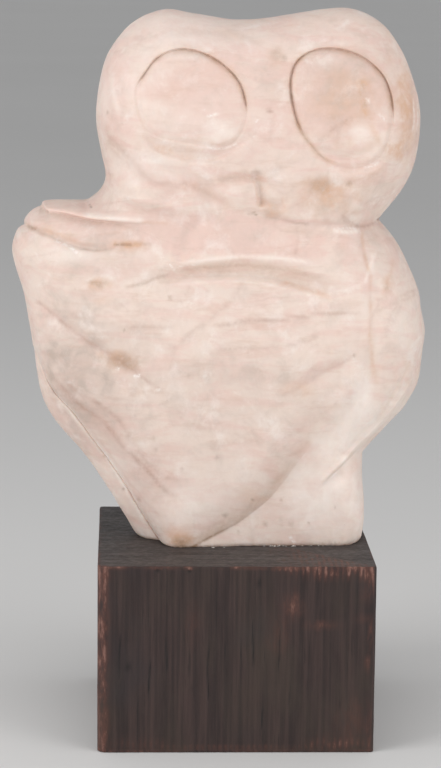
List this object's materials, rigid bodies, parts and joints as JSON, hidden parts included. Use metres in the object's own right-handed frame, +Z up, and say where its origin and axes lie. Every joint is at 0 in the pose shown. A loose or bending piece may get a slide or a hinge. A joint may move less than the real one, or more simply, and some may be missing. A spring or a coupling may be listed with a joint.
{
  "type": "carved stone owl statue on a timber block",
  "caption": "Abstract carved alabaster owl with large round eyes and folded wings, standing on a dark-stained square timber block.",
  "frame": {"origin": "centre of the timber block's underside, on the surface that the statue stands on", "axes": "+Z up; the owl faces -Y; +X is to the viewer's right when looking at its face"},
  "size_m": [0.2135, 0.14, 0.3709],
  "materials": {
    "alabaster": "hand-rubbed satin alabaster, cream to pale pink with fine grey-brown veins and brown dirt in the cuts",
    "stained_timber": "near-black stained softwood, upright grain, thin satin coat worn reddish along the edges"
  },
  "bodies": {
    "root": {"owl_statue": "alabaster", "timber_plinth": "stained_timber"}
  },
  "joints": []
}
